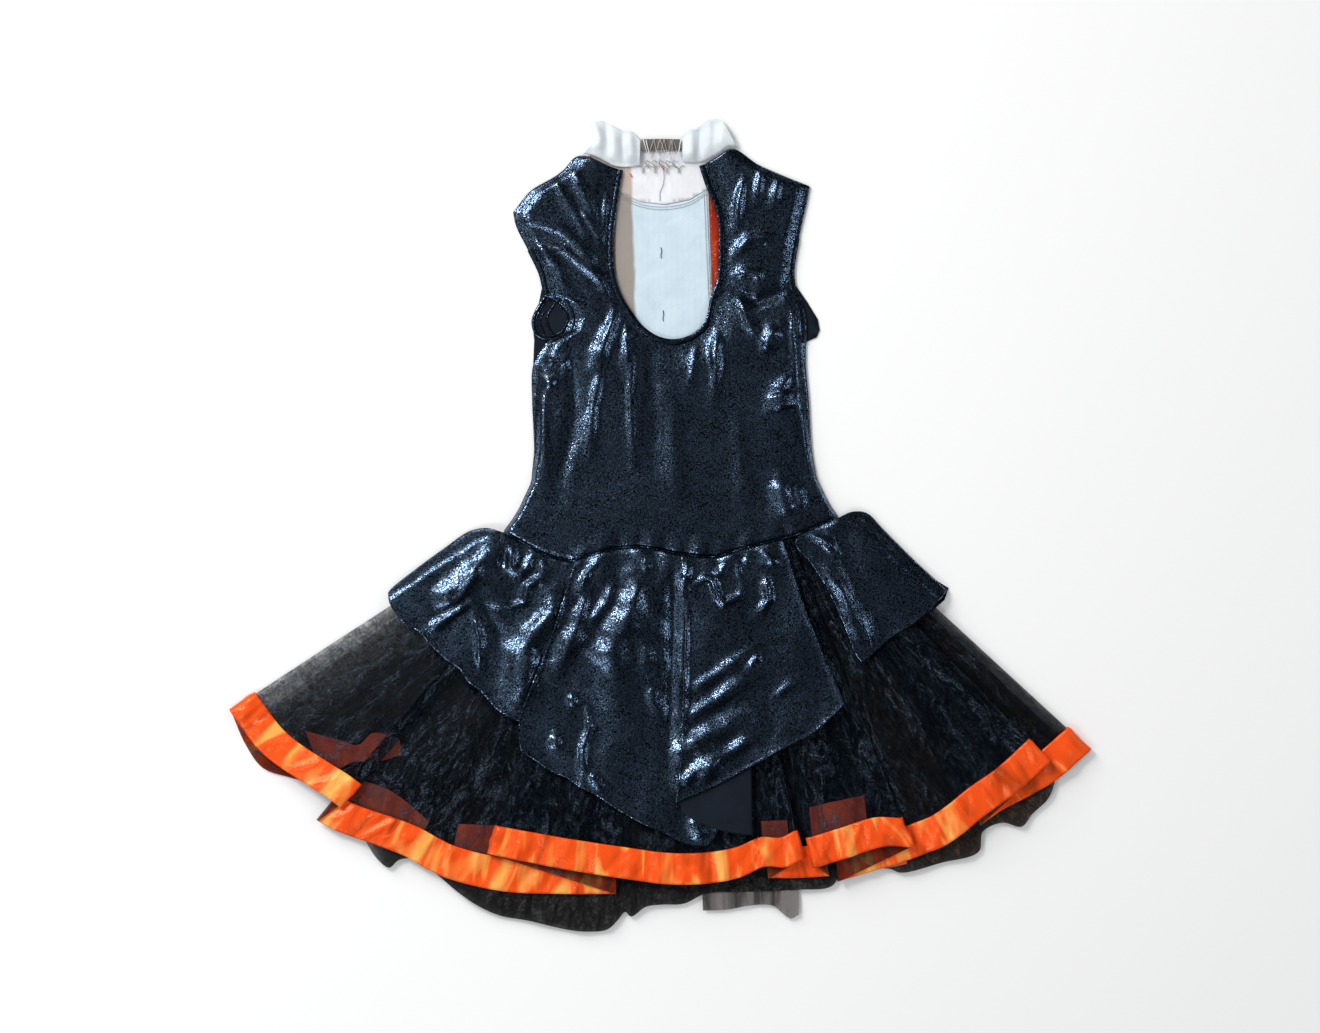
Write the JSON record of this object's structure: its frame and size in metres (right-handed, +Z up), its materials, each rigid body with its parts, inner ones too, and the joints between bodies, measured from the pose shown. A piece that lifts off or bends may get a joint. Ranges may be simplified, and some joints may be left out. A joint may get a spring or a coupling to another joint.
{
  "type": "tutu dance costume",
  "caption": "Child's dance costume laid flat with its back up: keyhole-back foil-knit bodice, handkerchief petals and an organza skirt with a satin ribbon hem.",
  "frame": {"origin": "middle of the garment's box, on the surface it lies on", "axes": "+X across the skirt, towards the right in the back view; +Y along the back from hem to neck; +Z up from the surface"},
  "size_m": [0.8636, 0.8135, 0.0236],
  "materials": {
    "foil_knit": "satin",
    "organza": "satin",
    "tulle": "matte",
    "orange_satin": "satin",
    "white_knit": "matte",
    "net": "matte",
    "elastic": "matte"
  },
  "bodies": {
    "root": {"front_left": "foil_knit", "front_right": "foil_knit", "front_bib": "white_knit", "lapel_left": "orange_satin", "lapel_right": "orange_satin", "collar_front": "white_knit", "bodice_back": "foil_knit", "keyhole_binding": "foil_knit", "armhole_hem_left": "foil_knit", "armhole_hem_right": "foil_knit", "collar_back_left": "white_knit", "collar_back_right": "white_knit", "neck_elastic": "elastic", "organza_skirt": "organza", "hem_ribbon": "orange_satin", "petticoat": "tulle", "white_net": "net", "petal_left": "foil_knit", "petal_centre_left": "foil_knit", "petal_flap": "foil_knit", "petal_centre_right": "foil_knit", "petal_right": "foil_knit", "petal_front_left": "foil_knit", "petal_front_right": "foil_knit"}
  },
  "joints": []
}
